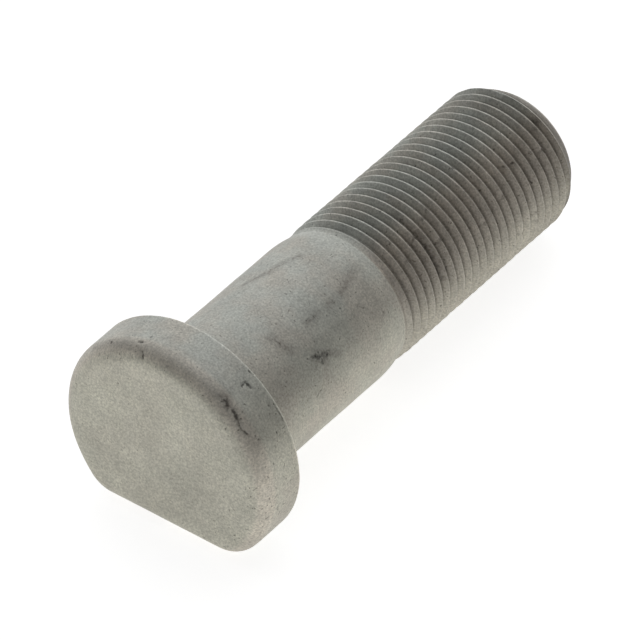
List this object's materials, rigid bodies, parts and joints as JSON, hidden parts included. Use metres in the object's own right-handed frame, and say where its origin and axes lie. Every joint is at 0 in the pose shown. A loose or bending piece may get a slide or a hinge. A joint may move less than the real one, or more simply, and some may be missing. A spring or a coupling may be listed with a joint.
{
  "type": "wheel stud",
  "caption": "Forged wheel stud lying on its side: D-shaped head with a rounded face edge, plain shank with a rounded shoulder, and a fine right-hand thread with a chamfered tip.",
  "frame": {"origin": "on the stud's axis, in the plane under the head that bears on the hub", "axes": "+Y along the axis from the head to the threaded tip, -Z out of the head's flat, +X to the right of a viewer who looks at the head's outer face"},
  "size_m": [0.0306, 0.0716, 0.0268],
  "materials": {
    "coated_steel": "forged steel under a thin matt grey phosphate coating, with small pits, scuffs and dark smears"
  },
  "bodies": {
    "root": {"wheel_stud": "coated_steel"}
  },
  "joints": []
}
